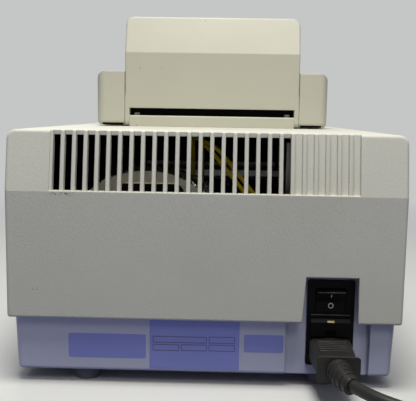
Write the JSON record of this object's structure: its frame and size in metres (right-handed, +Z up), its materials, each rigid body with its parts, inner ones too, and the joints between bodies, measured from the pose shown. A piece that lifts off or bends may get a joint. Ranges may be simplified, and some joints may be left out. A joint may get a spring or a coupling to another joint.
{
  "type": "thermal cycler",
  "caption": "Bench thermal cycler with a hinged heated lid under a lever hood, a finned heat sink and fan behind a louvred rear, and a mains lead.",
  "frame": {"origin": "on the bench, under the middle of the machine without its lead", "axes": "+Z up, the control panel faces -Y, the air grille and the mains inlet face +Y, +X to the right seen from the front"},
  "size_m": [0.3922, 0.4959, 0.265],
  "materials": {
    "housing_plastic": "fine textured off-white moulding",
    "base_plastic": "fine textured lavender grey moulding",
    "lid_plastic": "satin off-white moulding",
    "black_plastic": "black moulding",
    "foot_rubber": "grey rubber",
    "cable_rubber": "dull black jacket",
    "steel": "zinc plated sheet",
    "bright_steel": "turned steel",
    "brass": "nickel brass",
    "winding_film": "wrinkled clear film over wire",
    "pad_grey": "grey-beige pad",
    "lead_yellow": "yellow wire sleeve",
    "board_green": "green circuit board",
    "capacitor_sleeve": "dark sleeve",
    "aluminium": "machined",
    "ceramic": "white ceramic",
    "heater_rubber": "red silicone mat",
    "insulation_foam": "pale foam",
    "keypad_film": "printed foil",
    "window_clear": "clear window",
    "display_grey": "display",
    "fuse_glass": "glass fuses"
  },
  "bodies": {
    "root": {"upper_housing": "housing_plastic", "base_tray": "base_plastic", "rubber_feet": "foot_rubber", "tray_screws": "bright_steel", "power_inlet": "black_plastic", "inlet_blades": "brass", "transformer_coil": "winding_film", "transformer_pad": "pad_grey", "transformer_plate": "steel", "transformer_bolt": "bright_steel", "terminal_bracket": "black_plastic", "terminal_block": "pad_grey", "earth_leads": "lead_yellow", "board_bracket": "steel", "power_board": "board_green", "board_spacers": "bright_steel", "board_capacitors": "capacitor_sleeve", "fan_frame": "black_plastic", "thermal_block": "aluminium", "heat_pumps": "ceramic", "heat_sink": "aluminium", "sink_stands": "steel", "block_surround": "lid_plastic", "keypad_foil": "keypad_film", "display_window": "window_clear", "display_module": "display_grey", "panel_board": "board_green", "panel_spacers": "bright_steel", "hinge_block": "lid_plastic", "hinge_pin": "bright_steel", "hinge_screws": "lid_plastic", "mains_plug": "cable_rubber", "strain_relief": "cable_rubber", "mains_cord": "cable_rubber", "cord_coil": "cable_rubber", "wall_plug": "cable_rubber", "wall_plug_blades": "brass"},
    "lid": {"lid_housing": "lid_plastic", "return_springs": "bright_steel"},
    "lever": {"lever_hood": "lid_plastic"},
    "plate": {"heated_plate": "aluminium", "heater_mat": "heater_rubber", "plate_insulation": "insulation_foam", "spring_bridge": "steel", "guide_bolts": "bright_steel"},
    "rocker": {"switch_rocker": "black_plastic"},
    "drawer": {"fuse_drawer": "black_plastic", "fuses": "fuse_glass"},
    "fan": {"fan_rotor": "black_plastic"}
  },
  "joints": [
    {"name": "lid_hinge", "type": "hinge", "parent": "root", "child": "lid", "pos_m": [0, 0.0369, 0.1755], "axis": [-1, 0, 0], "range_deg": [0, 65]},
    {"name": "lever_hinge", "type": "hinge", "parent": "lid", "child": "lever", "pos_m": [0, 0.0369, 0.1755], "axis": [-1, 0, 0], "range_deg": [0, 20]},
    {"name": "plate_slide", "type": "slide", "parent": "lid", "child": "plate", "axis": [0, 0, 1], "range_m": [0, 0.006], "deforming": ["return_springs"]},
    {"name": "rocker_hinge", "type": "hinge", "parent": "root", "child": "rocker", "pos_m": [-0.0843, 0.193, 0.0603], "axis": [1, 0, 0], "range_deg": [0, 20]},
    {"name": "drawer_slide", "type": "slide", "parent": "root", "child": "drawer", "axis": [0, 1, 0], "range_m": [0, 0.02]},
    {"name": "fan_spin", "type": "hinge", "parent": "root", "child": "fan", "pos_m": [0, 0.0825, 0.0717], "axis": [0, 1, 0], "continuous": true}
  ],
  "couplings": [
    {"joint": "plate_slide", "follows": "lever_hinge", "m_per_rad": 0.01718}
  ]
}
